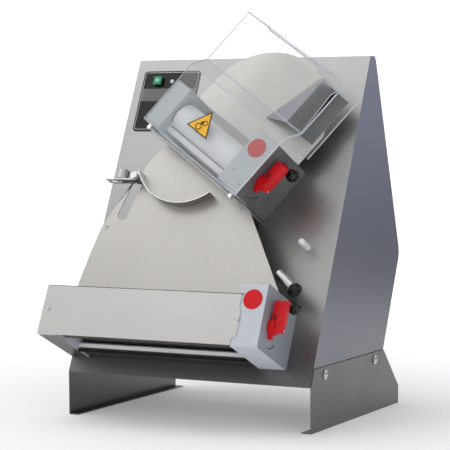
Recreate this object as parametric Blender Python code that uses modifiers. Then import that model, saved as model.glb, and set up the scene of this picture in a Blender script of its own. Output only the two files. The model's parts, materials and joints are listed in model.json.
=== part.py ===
"""Dough sheeter: a leaning sheet-steel cabinet that carries two roller heads.

The upper head is turned in the plane of the front panel, so dough slides through it at an angle, lands on the
lower slide plate against a swinging arm, and drops into the level lower head.

World frame: metres, +Z up, the front faces -Y, and the origin is on the ground under the middle of the machine.
Panel frame: x to the right, y up the leaning front panel, z straight out of it.
Head frame: x along the rollers, y across them and up, z straight out of the panel.
"""

import math

import bmesh
import bpy
from mathutils import Vector

# Cabinet
PANEL_WIDTH = 0.530
PANEL_LENGTH = 0.6975
PANEL_LEAN = math.radians(24.74)
BASE_HEIGHT = 0.0871
TOP_DEPTH = 0.0246
SHEET = 0.0015
GAP = 0.0003
FRONT_OFFSET = -0.1686
BULGE = (0.4535, 0.3154)
REAR_FOOT = (0.3484, 0.0871)

# Buttons
BUTTON_STEM = 0.0045

# Legs
LEG_SHEET = 0.002
LEG_TOP = 0.1208
LEG_BACK = 0.4466
FOOT_FLANGE = 0.0211
LEG_BOLTS = ((0.0644, 0.1053), (0.3147, 0.1053))

# Roller heads, shared by both
HEAD_DEPTH = 0.1415
RIGHT_BLOCK_WIDTH = 0.0565
RIGHT_BLOCK_HEIGHT = 0.1255
LEFT_BLOCK_WIDTH = 0.040
POCKET = (0.0040, 0.0340)
POCKET_WALL = 0.0012
ROLLER_RADIUS = 0.0305
ROLLER_GAP = 0.001
SHAFT_RADIUS = 0.008
AXIS_HEIGHT = 0.052
NIP_DEPTH = 0.073
BACK_AXIS = NIP_DEPTH - ROLLER_RADIUS - ROLLER_GAP / 2
FRONT_AXIS = NIP_DEPTH + ROLLER_RADIUS + ROLLER_GAP / 2
BEARING_RADIUS = 0.013
GAP_TRAVEL = 0.0025
GEAR_TEETH = 21
GEAR_SPAN = (0.0220, 0.0320)
PULLEY_SPAN = (0.0080, 0.0200)
PULLEY_RADIUS = 0.020
BELT_THICKNESS = 0.004
MOTOR_RADIUS = 0.045
MOTOR_AXIS = -0.062
LEVER_REACH = 0.051
KNOB_OFFSET = (0.048, -0.024)
KNOB_RADIUS = 0.013

# Where each head starts on the panel, its turn and its length
LOWER_HEAD = {
    "corner": (-0.2667, 0.0305), "turn": 0.0, "length": 0.4767,
    "left_face": 0.0018, "left_height": 0.0995, "disc": (0.4500, 0.0925),
}
UPPER_HEAD = {
    "corner": (-0.133, 0.496), "turn": math.radians(-34.5), "length": 0.285,
    "left_face": 0.0, "left_height": 0.102, "disc": (0.2530, 0.0937),
}

# Plates
COVER_SCREWS = ((0.0120, 0.0530), (0.4262, 0.0530))
TONGUE_DEPTH = 0.040
FEED_SHEET = 0.0012

# Clear guard over the upper head
GUARD_SHEET = 0.003
GUARD_FRONT = 0.146
GUARD_UPPER = 0.118
GUARD_LOW = -0.0045
GUARD_TOP = 0.301
GUARD_RIGHT = 0.2895
GUARD_CORNER = 0.025
GUARD_HINGE = (-0.008, 0.118)
HEM_SPAN = (0.016, 0.256)
HINGE_ROD_RADIUS = 0.003

# Pendulum over the lower slide plate
PENDULUM_PIVOT = (-0.155, 0.388)
PENDULUM_NEAR = 0.0755
PENDULUM_FAR = 0.0985
TAIL_HEIGHT = 0.3820
COUNTERWEIGHT = (-0.190, 0.0865)
PENDULUM_SHEET = 0.0018
ARC_CENTRE = (-0.047, 0.442)
ARC_RADIUS = 0.110

# Turns that lay an outline, drawn in x and y, into the planes of its parent
FACE_ON = (0.0, 0.0, 0.0)
ACROSS = (math.pi / 2, 0.0, math.pi / 2)
UPRIGHT = (math.pi / 2, 0.0, 0.0)
ALONG_X = (0.0, math.pi / 2, 0.0)
ALONG_Y = (-math.pi / 2, 0.0, 0.0)

STEEL = ("stainless_sheet", (0.60, 0.60, 0.58), 0.35, 1.0)
PLATE_STEEL = ("slide_plate_steel", (0.66, 0.64, 0.61), 0.38, 1.0)
DARK_STEEL = ("machined_steel", (0.42, 0.43, 0.45), 0.30, 1.0)
CASTING = ("painted_casting", (0.62, 0.66, 0.69), 0.45, 0.0)
WHITE = ("white_plastic", (0.85, 0.87, 0.88), 0.40, 0.0)
RED = ("red_plastic", (0.75, 0.04, 0.05), 0.35, 0.0)
BLACK = ("black_plastic", (0.02, 0.02, 0.02), 0.25, 0.0)
GREEN = ("green_plastic", (0.02, 0.45, 0.22), 0.35, 0.0)
CLEAR = ("clear_sheet", (0.85, 0.90, 0.92), 0.08, 0.0)
RUBBER = ("belt_rubber", (0.04, 0.04, 0.04), 0.80, 0.0)
MOTOR_PAINT = ("motor_paint", (0.16, 0.19, 0.22), 0.55, 0.0)

BUTTONS = (("start_button", (-0.207, 0.6455), GREEN), ("stop_button", (-0.145, 0.565), RED))


# ---------------------------------------------------------------- helpers

def clear_scene():
    for obj in list(bpy.data.objects):
        bpy.data.objects.remove(obj)


def make_collection(name):
    collection = bpy.data.collections.new(name)
    bpy.context.scene.collection.children.link(collection)
    return collection


def material_for(look):
    name, colour, roughness, metallic = look
    material = bpy.data.materials.get(name)
    if material is None:
        material = bpy.data.materials.new(name)
        material.use_nodes = True
        shader = material.node_tree.nodes["Principled BSDF"]
        shader.inputs["Base Color"].default_value = (*colour, 1.0)
        shader.inputs["Roughness"].default_value = roughness
        shader.inputs["Metallic"].default_value = metallic
    return material


def add_frame(name, location, rotation, parent=None):
    frame = bpy.data.objects.new(name, None)
    bpy.context.scene.collection.objects.link(frame)
    frame.parent = parent
    frame.location = location
    frame.rotation_euler = rotation
    return frame


def place(name, mesh, parent, look, location, rotation):
    """Link a mesh as a visible part, or as a cutter when it has no look."""
    obj = bpy.data.objects.new(name, mesh)
    if look is None:
        cutters.objects.link(obj)
        obj.hide_render = True
        obj.display_type = "WIRE"
    else:
        parts.objects.link(obj)
        mesh.materials.append(material_for(look))
    obj.parent = parent
    obj.location = location
    obj.rotation_euler = rotation
    return obj


def arc(centre, radius, start, end, steps):
    """Points along an arc, with both ends; angles are in degrees."""
    points = []
    for step in range(steps + 1):
        angle = math.radians(start + (end - start) * step / steps)
        points.append((centre[0] + radius * math.cos(angle), centre[1] + radius * math.sin(angle)))
    return points


def circle(centre, radius, steps=24):
    return arc(centre, radius, 0.0, 360.0 * (steps - 1) / steps, steps - 1)


def rectangle(low, high):
    return [(low[0], low[1]), (high[0], low[1]), (high[0], high[1]), (low[0], high[1])]


def rounded(low, high, radius, steps=4):
    """A rectangle with round corners."""
    corners = (
        ((high[0] - radius, high[1] - radius), 0.0),
        ((low[0] + radius, high[1] - radius), 90.0),
        ((low[0] + radius, low[1] + radius), 180.0),
        ((high[0] - radius, low[1] + radius), 270.0),
    )
    points = []
    for centre, start in corners:
        points += arc(centre, radius, start, start + 90.0, steps)
    return points


def stadium(first, second, radius, steps=8):
    """The outline round two equal circles."""
    heading = math.degrees(math.atan2(second[1] - first[1], second[0] - first[0]))
    ends = arc(second, radius, heading - 90.0, heading + 90.0, steps)
    return ends + arc(first, radius, heading + 90.0, heading + 270.0, steps)


def strip(path, thickness):
    """The outline of a bent sheet: a path of bends, and the same path set over to its left."""
    edges = [Vector(b) - Vector(a) for a, b in zip(path, path[1:])]
    normals = [Vector((-edge.y, edge.x)).normalized() for edge in edges]
    inside = []
    for index, point in enumerate(path):
        before = normals[max(index - 1, 0)]
        after = normals[min(index, len(normals) - 1)]
        shift = (before + after) * (thickness / (1.0 + before.dot(after)))
        inside.append((point[0] + shift.x, point[1] + shift.y))
    return list(path) + inside[::-1]


def prism(name, loops, low, high, parent, look=None, rotation=FACE_ON, origin=(0.0, 0.0)):
    """Extrude an outline, with any further loops as holes, from low to high across its plane.

    The object's own origin sits at the given point of the outline, midway through the thickness.
    """
    curve = bpy.data.curves.new(name, "CURVE")
    curve.dimensions = "2D"
    curve.fill_mode = "BOTH"
    curve.extrude = (high - low) / 2
    for loop in loops:
        spline = curve.splines.new("POLY")
        spline.points.add(len(loop) - 1)
        for point, (x, y) in zip(spline.points, loop):
            point.co = (x - origin[0], y - origin[1], 0.0, 1.0)
        spline.use_cyclic_u = True
    guide = bpy.data.objects.new(name + "_outline", curve)
    bpy.context.scene.collection.objects.link(guide)
    evaluated = guide.evaluated_get(bpy.context.evaluated_depsgraph_get())
    mesh = bpy.data.meshes.new_from_object(evaluated)
    bpy.data.objects.remove(guide)
    bpy.data.curves.remove(curve)
    body = bmesh.new()
    body.from_mesh(mesh)
    bmesh.ops.remove_doubles(body, verts=body.verts, dist=0.000005)
    bmesh.ops.recalc_face_normals(body, faces=body.faces)
    body.to_mesh(mesh)
    body.free()
    mesh.name = name
    middle = (low + high) / 2
    if rotation == ACROSS:
        location = (middle, origin[0], origin[1])
    elif rotation == UPRIGHT:
        location = (origin[0], middle, origin[1])
    else:
        location = (origin[0], origin[1], middle)
    return place(name, mesh, parent, look, location, rotation)


def box(name, low, high, parent, look=None):
    body = bmesh.new()
    bmesh.ops.create_cube(body, size=1.0)
    size = [b - a for a, b in zip(low, high)]
    bmesh.ops.scale(body, vec=size, verts=body.verts)
    mesh = bpy.data.meshes.new(name)
    body.to_mesh(mesh)
    body.free()
    centre = [(a + b) / 2 for a, b in zip(low, high)]
    return place(name, mesh, parent, look, centre, FACE_ON)


def cylinder(name, radius, length, centre, rotation, parent, look=None, steps=32):
    body = bmesh.new()
    bmesh.ops.create_cone(body, cap_ends=True, segments=steps, radius1=radius, radius2=radius, depth=length)
    mesh = bpy.data.meshes.new(name)
    body.to_mesh(mesh)
    body.free()
    return place(name, mesh, parent, look, centre, rotation)


def turned(name, profile, location, rotation, parent, look=None, steps=32):
    """Turn a profile of (radius, height) points, listed from the top down the outer side."""
    mesh = bpy.data.meshes.new(name)
    edges = [(i, i + 1) for i in range(len(profile) - 1)]
    mesh.from_pydata([(radius, 0.0, height) for radius, height in profile], edges, [])
    obj = place(name, mesh, parent, look, location, rotation)
    screw = obj.modifiers.new("turn", "SCREW")
    screw.steps = steps
    screw.render_steps = steps
    screw.use_merge_vertices = True
    screw.merge_threshold = 0.00001
    screw.use_normal_calculate = False
    return obj


def combine(target, other, operation):
    boolean = target.modifiers.new(other.name, "BOOLEAN")
    boolean.operation = operation
    boolean.solver = "EXACT"
    boolean.object = other


def cut(target, *others):
    for other in others:
        combine(target, other, "DIFFERENCE")


def join(target, *others):
    for other in others:
        combine(target, other, "UNION")


def soften(obj, width, segments=2):
    bevel = obj.modifiers.new("edges", "BEVEL")
    bevel.width = width
    bevel.segments = segments
    bevel.limit_method = "ANGLE"
    bevel.angle_limit = math.radians(50.0)


def folded_sheet(name, points, faces, thickness, parent, look):
    """A bent sheet: flat panels that share their fold lines, thickened on the side they face away from."""
    mesh = bpy.data.meshes.new(name)
    mesh.from_pydata(points, [], faces)
    obj = place(name, mesh, parent, look, (0.0, 0.0, 0.0), FACE_ON)
    solid = obj.modifiers.new("sheet", "SOLIDIFY")
    solid.thickness = thickness
    solid.offset = -1.0
    solid.use_even_offset = True
    return obj


# ---------------------------------------------------------------- cabinet

def panel_point(up, out):
    """World y, measured from the panel's foot, and world z of a point on the panel frame."""
    y = up * math.sin(PANEL_LEAN) - out * math.cos(PANEL_LEAN)
    z = BASE_HEIGHT + up * math.cos(PANEL_LEAN) + out * math.sin(PANEL_LEAN)
    return y, z


def make_cabinet_shell(ground, panel, heads):
    front_top = panel_point(PANEL_LENGTH, 0.0)
    outline = [
        panel_point(0.0, 0.0),
        front_top,
        (front_top[0] + TOP_DEPTH, front_top[1]),
        BULGE,
        REAR_FOOT,
    ]
    half = PANEL_WIDTH / 2
    shell = prism("cabinet_shell", [outline], -half, half, ground, STEEL, ACROSS)
    inside_top = front_top[1] - SHEET
    rise = (inside_top - panel_point(0.0, -SHEET)[1]) / math.cos(PANEL_LEAN)
    hollow = [panel_point(-0.06, -SHEET), panel_point(rise, -SHEET), (0.6, inside_top), (0.6, 0.02)]
    room = prism("cut_cabinet_room", [hollow], SHEET - half, half - SHEET, ground, None, ACROSS)
    cut(shell, room)
    for name, frame in heads:
        low, high = (PULLEY_SPAN[0] - 0.002, 0.024, -0.02), (PULLEY_SPAN[1] + 0.002, 0.080, 0.02)
        window = box("cut_" + name + "_belt_window", low, high, frame)
        cut(shell, window)
    for number, (y, z) in enumerate(LEG_BOLTS):
        hole = cylinder("cut_side_hole_%d" % number, 0.0036, 0.6, (0.0, y, z), ALONG_X, ground, None, 16)
        cut(shell, hole)
    for name, centre, _ in BUTTONS:
        way = cylinder("cut_%s_way" % name, BUTTON_STEM + GAP, 0.02, (*centre, 0.0), FACE_ON, panel, None, 20)
        cut(shell, way)
    pin_hole = cylinder("cut_pin_hole", 0.0045, 0.02, (*PENDULUM_PIVOT, 0.0), FACE_ON, panel, None, 16)
    cut(shell, pin_hole)
    return shell


def make_rear_covers(ground):
    """Two flat plates over the open back, the upper one with air slots."""
    front_top = panel_point(PANEL_LENGTH, 0.0)
    corners = (REAR_FOOT, BULGE, (front_top[0] + TOP_DEPTH, front_top[1]))
    half = PANEL_WIDTH / 2
    for name, low, high, slotted in (
        ("rear_lower_cover", corners[0], corners[1], False),
        ("rear_upper_cover", corners[1], corners[2], True),
    ):
        run = Vector((high[0] - low[0], high[1] - low[1]))
        tilt = math.atan2(run.y, run.x)
        frame = add_frame(name + "_frame", (0.0, low[0], low[1]), (tilt, 0.0, 0.0), ground)
        loops = [rounded((-half, 0.004), (half, run.length - 0.004), 0.006)]
        if slotted:
            for row in range(7):
                height = 0.150 + 0.020 * row
                loops.append(stadium((-0.070, height), (0.070, height), 0.004))
        prism(name, loops, -GAP - SHEET, -GAP, frame, STEEL)


def make_base_plate(ground):
    width = PANEL_WIDTH / 2 - SHEET - GAP
    low = (-width, 0.010, BASE_HEIGHT + GAP)
    plate = box("base_plate", low, (width, REAR_FOOT[0] - 0.004, BASE_HEIGHT + GAP + 0.002), ground, STEEL)
    gland_hole = cylinder("cut_gland_hole", 0.0105, 0.02, (0.150, 0.280, BASE_HEIGHT), FACE_ON, ground)
    cut(plate, gland_hole)


def make_power_gland(ground):
    profile = [
        (0.0080, 0.014), (0.0155, 0.014), (0.0155, 0.0035), (0.0100, 0.0035),
        (0.0100, -0.0010), (0.0150, -0.0010), (0.0150, -0.0090), (0.0105, -0.0180),
        (0.0045, -0.0180), (0.0045, 0.010), (0.0080, 0.014),
    ]
    turned("power_gland", profile, (0.150, 0.280, BASE_HEIGHT), FACE_ON, ground, BLACK, 24)


def make_legs(ground):
    """A bent plate on each side, with a flange turned in under the machine."""
    outline = [
        (0.0157, LEG_TOP), (0.0006, BASE_HEIGHT), (0.0020, 0.0), (LEG_BACK, 0.0),
        (LEG_BACK, 0.0367), (0.3639, LEG_TOP),
    ]
    holes = [circle(bolt, 0.0034, 16) for bolt in LEG_BOLTS]
    inner = PANEL_WIDTH / 2 + GAP
    outer = inner + LEG_SHEET
    for name, side in (("left_leg", -1), ("right_leg", 1)):
        near, far = sorted((side * inner, side * outer))
        leg = prism(name, [outline] + holes, near, far, ground, STEEL, ACROSS)
        near, far = sorted((side * (outer - FOOT_FLANGE), side * (outer - LEG_SHEET / 2)))
        foot = box("add_" + name + "_foot", (near, 0.0020, 0.0), (far, LEG_BACK, LEG_SHEET), ground)
        join(leg, foot)


def make_leg_bolts(ground):
    """Domed bolt with a broad washer, its shank through the leg and the cabinet side."""
    profile = [(0.0, 0.0052), (0.0030, 0.0048), (0.0052, 0.0034), (0.0060, 0.0018), (0.0090, 0.0018)]
    profile += [(0.0090, GAP), (0.0030, GAP), (0.0030, -0.0100), (0.0, -0.0100)]
    face = PANEL_WIDTH / 2 + GAP + LEG_SHEET
    for side_name, side in (("left", -1), ("right", 1)):
        for end_name, (y, z) in zip(("front", "rear"), LEG_BOLTS):
            name = "leg_bolt_%s_%s" % (side_name, end_name)
            turn = (0.0, side * math.pi / 2, 0.0)
            turned(name, profile, (side * face, y, z), turn, ground, DARK_STEEL, 20)


def make_controls(panel):
    """Glossy black plate with a start button, a stop button and a power lamp."""
    low, high = (-0.2455, 0.532), (-0.1125, 0.670)
    holes = [circle(centre, BUTTON_STEM + GAP, 20) for _, centre, _ in BUTTONS]
    prism("control_plate", [rounded(low, high, 0.006)] + holes, GAP, 0.0022, panel, BLACK)
    for name, (x, y), look in BUTTONS:
        half = 0.0095
        button = box(name, (x - half, y - half, 0.0045), (x + half, y + half, 0.0105), panel, look)
        soften(button, 0.0012)
        stem = cylinder("add_" + name + "_stem", BUTTON_STEM, 0.0120, (x, y, -0.0010), FACE_ON, panel, None, 20)
        join(button, stem)
    lamp = [(0.0, 0.0036), (0.0020, 0.0032), (0.0036, 0.0018), (0.0045, 0.0), (0.0, 0.0)]
    turned("power_lamp", lamp, (-0.1751, 0.6457, 0.0025), FACE_ON, panel, WHITE, 20)


# ---------------------------------------------------------------- roller heads

def gear_outline():
    """A spur gear's outline, with straight-sided teeth narrow enough to run with clearance.

    One tooth points straight out; the tooth count is odd, so a gear of the same outline meshes on either side.
    """
    pitch = (FRONT_AXIS - BACK_AXIS) / 2
    root, tip = pitch - 0.0024, pitch + 0.0020
    step = 2 * math.pi / GEAR_TEETH
    stations = ((-0.26, root), (-0.12, tip), (0.12, tip), (0.26, root))
    points = []
    for tooth in range(GEAR_TEETH):
        for share, radius in stations:
            angle = math.pi / 2 + step * (tooth + share)
            points.append((radius * math.cos(angle), radius * math.sin(angle)))
    return points


def shifted(points, centre):
    return [(x + centre[0], y + centre[1]) for x, y in points]


def make_blocks(name, frame, head):
    """The cast end blocks: a tall one on the right, and a hollow one for the gears on the left."""
    length = head["length"]
    inner = length - RIGHT_BLOCK_WIDTH
    back, front = (AXIS_HEIGHT, BACK_AXIS), (AXIS_HEIGHT, FRONT_AXIS)
    opened = (AXIS_HEIGHT, FRONT_AXIS + GAP_TRAVEL)
    way = stadium(front, opened, BEARING_RADIUS + GAP)

    outline = rounded((0.0, GAP), (RIGHT_BLOCK_HEIGHT, HEAD_DEPTH), 0.005)
    right = prism(name + "_right_block", [outline], inner, length, frame, CASTING, ACROSS)
    soften(right, 0.0012)
    bore = cylinder("cut_" + name + "_right_bore", SHAFT_RADIUS + GAP, 0.060, (inner, *back), ALONG_X, frame)
    slot = prism("cut_" + name + "_right_slot", [way], inner - 0.01, inner + 0.030, frame, None, ACROSS)
    hole = cylinder("cut_" + name + "_lever_hole", 0.0064, 0.050, (length - 0.01, *front), ALONG_X, frame)
    cut(right, bore, slot, hole)

    outline = rounded((0.0, GAP), (head["left_height"], HEAD_DEPTH), 0.005)
    left = prism(name + "_left_block", [outline], head["left_face"], LEFT_BLOCK_WIDTH, frame, CASTING, ACROSS)
    soften(left, 0.0012)
    low, high = (POCKET[0], 0.0150, -0.01), (POCKET[1], 0.0890, HEAD_DEPTH - POCKET_WALL)
    pocket = box("cut_" + name + "_gear_pocket", low, high, frame)
    bore = cylinder("cut_" + name + "_left_bore", SHAFT_RADIUS + GAP, 0.02, (0.037, *back), ALONG_X, frame)
    slot = prism("cut_" + name + "_left_slot", [way], 0.030, 0.045, frame, None, ACROSS)
    cut(left, pocket, bore, slot)


def make_rollers(name, frame, head):
    """Two rollers on steel shafts; the back one is driven, the front one sits on the sliding carriage."""
    inner = head["length"] - RIGHT_BLOCK_WIDTH
    start, end = LEFT_BLOCK_WIDTH + 0.0055, inner - 0.0055
    rim = ROLLER_RADIUS
    for which, depth, low in (
        ("back", BACK_AXIS, PULLEY_SPAN[0] - 0.002),
        ("front", FRONT_AXIS, GEAR_SPAN[0] - 0.002),
    ):
        high = inner + 0.0270
        profile = [
            (0.0, high), (SHAFT_RADIUS, high), (SHAFT_RADIUS, end), (rim - 0.001, end), (rim, end - 0.001),
            (rim, start + 0.001), (rim - 0.001, start), (SHAFT_RADIUS, start), (SHAFT_RADIUS, low), (0.0, low),
        ]
        where = (0.0, AXIS_HEIGHT, depth)
        turned("%s_%s_roller" % (name, which), profile, where, ALONG_X, frame, WHITE, 40)


def make_gears(name, frame):
    """A gear on each roller shaft; the back one is turned in one piece with its belt pulley."""
    bore = circle((0.0, 0.0), SHAFT_RADIUS + GAP, 20)
    low, high = GEAR_SPAN
    for which, depth in (("back", BACK_AXIS), ("front", FRONT_AXIS)):
        centre = (AXIS_HEIGHT, depth)
        loops = [shifted(gear_outline(), centre), shifted(bore, centre)]
        gear = prism("%s_%s_gear" % (name, which), loops, low, high, frame, DARK_STEEL, ACROSS, centre)
        if which == "back":
            loops = [circle(centre, PULLEY_RADIUS, 32), shifted(bore, centre)]
            pulley = prism("add_" + name + "_pulley", loops, PULLEY_SPAN[0], low + 0.001, frame, None, ACROSS, centre)
            join(gear, pulley)


def make_carriage(name, frame, head):
    """Bearings of the front roller, tied together by the bar that scrapes it."""
    left, right = LEFT_BLOCK_WIDTH + 0.001, head["length"] - RIGHT_BLOCK_WIDTH - 0.001
    front = (AXIS_HEIGHT, FRONT_AXIS)
    foot = ((0.0090, FRONT_AXIS - 0.004), (0.0205, FRONT_AXIS + 0.014))
    cheek = [(foot[0][0], foot[1][1])] + arc(front, 0.018, 60.0, -60.0, 12) + [foot[0]]
    carriage = prism(name + "_front_carriage", [rectangle(*foot)], left, right, frame, WHITE, ACROSS)
    for end, near, far, outer in (
        ("left", left, left + 0.0035, POCKET[1] + 0.0005),
        ("right", right - 0.0035, right, right + 0.0130),
    ):
        plate = prism("add_%s_%s_cheek" % (name, end), [cheek], near, far, frame, None, ACROSS)
        low, high = min(outer, near), max(outer, far)
        boss = prism("add_%s_%s_bearing" % (name, end), [circle(front, BEARING_RADIUS)],
                     low, high, frame, None, ACROSS)
        join(carriage, plate, boss)
    middle = (head["length"] / 2, *front)
    shaft = cylinder("cut_" + name + "_shaft_way", SHAFT_RADIUS + GAP, head["length"], middle, ALONG_X, frame)
    cut(carriage, shaft)


def make_back_scraper(name, frame, head):
    inner = head["length"] - RIGHT_BLOCK_WIDTH
    outline = [(0.0080, 0.020), (0.0080, 0.048), (0.0150, 0.048), (0.0200, 0.040), (0.0200, 0.020)]
    prism(name + "_back_scraper", [outline], LEFT_BLOCK_WIDTH + GAP, inner - GAP, frame, WHITE, ACROSS)


def make_red_disc(name, frame, head):
    profile = [(0.0, 0.0009), (0.0190, 0.0009), (0.0195, 0.0005), (0.0195, 0.0), (0.0, 0.0)]
    turned(name + "_red_disc", profile, (*head["disc"], HEAD_DEPTH + GAP), FACE_ON, frame, RED, 40)


def make_lever(name, frame, head):
    """Thickness lever: a link on the front bearing's axis, with a grip and a pointer that stand out from it."""
    face = head["length"]
    front = (AXIS_HEIGHT, FRONT_AXIS)
    knob = (AXIS_HEIGHT + KNOB_OFFSET[0], FRONT_AXIS + KNOB_OFFSET[1])
    link = prism(name + "_lever", [stadium(front, knob, 0.010)], face + GAP, face + 0.0062,
                 frame, RED, ACROSS, front)
    grip_low, grip_high = (AXIS_HEIGHT - 0.012, FRONT_AXIS), (AXIS_HEIGHT + LEVER_REACH, FRONT_AXIS + 0.011)
    grip = prism("add_" + name + "_grip", [rounded(grip_low, grip_high, 0.004)],
                 face + 0.0056, face + 0.0330, frame, None, ACROSS, front)
    hub = cylinder("add_" + name + "_hub", 0.0155, 0.0135, (face + 0.0076, *front), ALONG_X, frame)
    toe = [(AXIS_HEIGHT - 0.024, FRONT_AXIS - 0.002), (AXIS_HEIGHT - 0.024, FRONT_AXIS + 0.002),
           (AXIS_HEIGHT - 0.005, FRONT_AXIS + 0.010), (AXIS_HEIGHT - 0.005, FRONT_AXIS - 0.010)]
    pointer = prism("add_" + name + "_pointer", [toe], face + 0.001, face + 0.009, frame, None, ACROSS, front)
    shaft = cylinder("add_" + name + "_shaft", 0.0060, 0.018, (face - 0.006, *front), ALONG_X, frame)
    join(link, grip, hub, pointer, shaft)
    pin_way = cylinder("cut_" + name + "_pin_way", 0.0033, 0.040, (face, *knob), ALONG_X, frame, None, 16)
    cut(link, pin_way)

    profile = [(0.0, 2 * KNOB_RADIUS)]
    for step in range(1, 10):
        angle = math.radians(90.0 - 16.5 * step)
        profile.append((KNOB_RADIUS * math.cos(angle), KNOB_RADIUS * (1 + math.sin(angle))))
    profile += [(0.0065, 0.0005), (0.0065, -0.0105), (0.0030, -0.0105), (0.0030, -0.0165), (0.0, -0.0165)]
    turned(name + "_index_knob", profile, (face + 0.0170, *knob), ALONG_X, frame, BLACK, 28)


def make_drive(name, frame):
    """Gear motor on the back of the panel, its pulley, and the belt to the back roller."""
    axis = (AXIS_HEIGHT, MOTOR_AXIS)
    back = (AXIS_HEIGHT, BACK_AXIS)
    profile = [
        (0.0, 0.165), (0.030, 0.165), (0.042, 0.160), (MOTOR_RADIUS, 0.150), (MOTOR_RADIUS, 0.075),
        (0.036, 0.070), (0.036, 0.040), (0.0, 0.040),
    ]
    motor = turned(name + "_motor", profile, (0.0, *axis), ALONG_X, frame, MOTOR_PAINT, 32)
    shaft = cylinder("add_" + name + "_motor_shaft", 0.0070, 0.040, (0.026, *axis), ALONG_X, frame)
    foot = box("add_" + name + "_motor_foot", (0.085, 0.024, -0.045), (0.140, 0.080, -SHEET - GAP), frame)
    join(motor, shaft, foot)

    low, high = PULLEY_SPAN
    bore = circle(axis, 0.0070 + GAP, 20)
    prism(name + "_motor_pulley", [circle(axis, PULLEY_RADIUS, 32), bore],
          low, high, frame, DARK_STEEL, ACROSS, axis)
    inside = stadium(axis, back, PULLEY_RADIUS + GAP + 0.0001, 16)
    outside = stadium(axis, back, PULLEY_RADIUS + BELT_THICKNESS, 16)
    prism(name + "_drive_belt", [outside, inside], low + 0.001, high - 0.001, frame, RUBBER, ACROSS)


def make_head(name, frame, head):
    make_blocks(name, frame, head)
    make_rollers(name, frame, head)
    make_gears(name, frame)
    make_carriage(name, frame, head)
    make_back_scraper(name, frame, head)
    make_red_disc(name, frame, head)
    make_lever(name, frame, head)
    make_drive(name, frame)


# ---------------------------------------------------------------- covers, plates and guard

def make_lower_cover(frame):
    """Sheet cover round the front and left of the lower head, its right edge cut in a shallow wave."""
    inner = LOWER_HEAD["length"] - RIGHT_BLOCK_WIDTH
    edge = [(inner + 0.0010, 0.0012), (inner + 0.0015, 0.0150)]
    edge += arc((inner + 0.0020, 0.0230), 0.0080, -80.0, 0.0, 4)
    edge += [(inner + 0.0110, 0.0600), (inner + 0.0095, 0.0680), (inner + 0.0055, 0.0760), (inner + 0.0060, 0.1015)]
    outline = [(0.0, 0.1015), (0.0, 0.0012)] + edge
    near = HEAD_DEPTH + GAP
    far = near + 0.0013
    holes = [circle(screw, 0.0028, 16) for screw in COVER_SCREWS]
    cover = prism("lower_front_cover", [outline] + holes, near, far, frame, STEEL)
    side = box("add_lower_cover_side", (0.0002, 0.0015, GAP), (0.0015, 0.1012, near + 0.0006), frame)
    lip = box("add_lower_cover_lip", (0.0008, 0.0998, 0.128), (inner - 0.0006, 0.1009, near + 0.0008), frame)
    join(cover, side, lip)

    profile = [(0.0, 0.0034), (0.0030, 0.0030), (0.0050, 0.0016), (0.0050, GAP), (0.0025, GAP),
               (0.0025, -0.0080), (0.0, -0.0080)]
    block = bpy.data.objects
    for name, screw in zip(("left", "right"), COVER_SCREWS):
        turned("lower_cover_screw_" + name, profile, (*screw, far), FACE_ON, frame, DARK_STEEL, 20)
        way = cylinder("cut_cover_screw_way_" + name, 0.0028, 0.030, (*screw, HEAD_DEPTH), FACE_ON, frame, None, 16)
        cut(block["lower_%s_block" % name], way)


def make_outlet_guide(frame):
    """Bent sheet that leads the dough out from under the lower head's back roller."""
    inner = LOWER_HEAD["length"] - RIGHT_BLOCK_WIDTH
    path = [(0.0065, 0.0030), (0.0065, 0.0440), (0.0040, 0.0475), (-0.0015, 0.0475)]
    prism("lower_outlet_guide", [strip(path, 0.0020)], LEFT_BLOCK_WIDTH + 0.0010, inner - 0.0010,
          frame, WHITE, ACROSS)


def make_lower_slide_plate(panel):
    """Wide plate under the upper head; studs at its back hold it off the panel."""
    outline = [(-0.2220, 0.0960), (0.1480, 0.0960), (0.1480, 0.1570), (0.2030, 0.1570), (0.1040, 0.3280)]
    outline += [(-0.1050, 0.4680), (-0.1240, 0.4550), (-0.1350, 0.4400), (-0.1470, 0.4220), (-0.1530, 0.4060)]
    outline += [(-0.1560, 0.4040), (-0.2160, 0.2950), (-0.2210, 0.2780), (-0.2320, 0.2280), (-0.2430, 0.1650)]
    outline += [(-0.2450, 0.1330), (-0.2220, 0.1330)]
    slot = stadium((-0.1770, 0.3110), (-0.1580, 0.3850), 0.0110)
    plate = prism("lower_slide_plate", [outline, slot], NIP_DEPTH, NIP_DEPTH + SHEET, panel, PLATE_STEEL)
    for number, (x, y) in enumerate(((-0.2080, 0.2850), (0.0860, 0.3290))):
        stud = cylinder("add_lower_plate_stud_%d" % number, 0.0060, NIP_DEPTH,
                        (x, y, NIP_DEPTH / 2 + GAP), FACE_ON, panel, None, 20)
        join(plate, stud)


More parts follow.
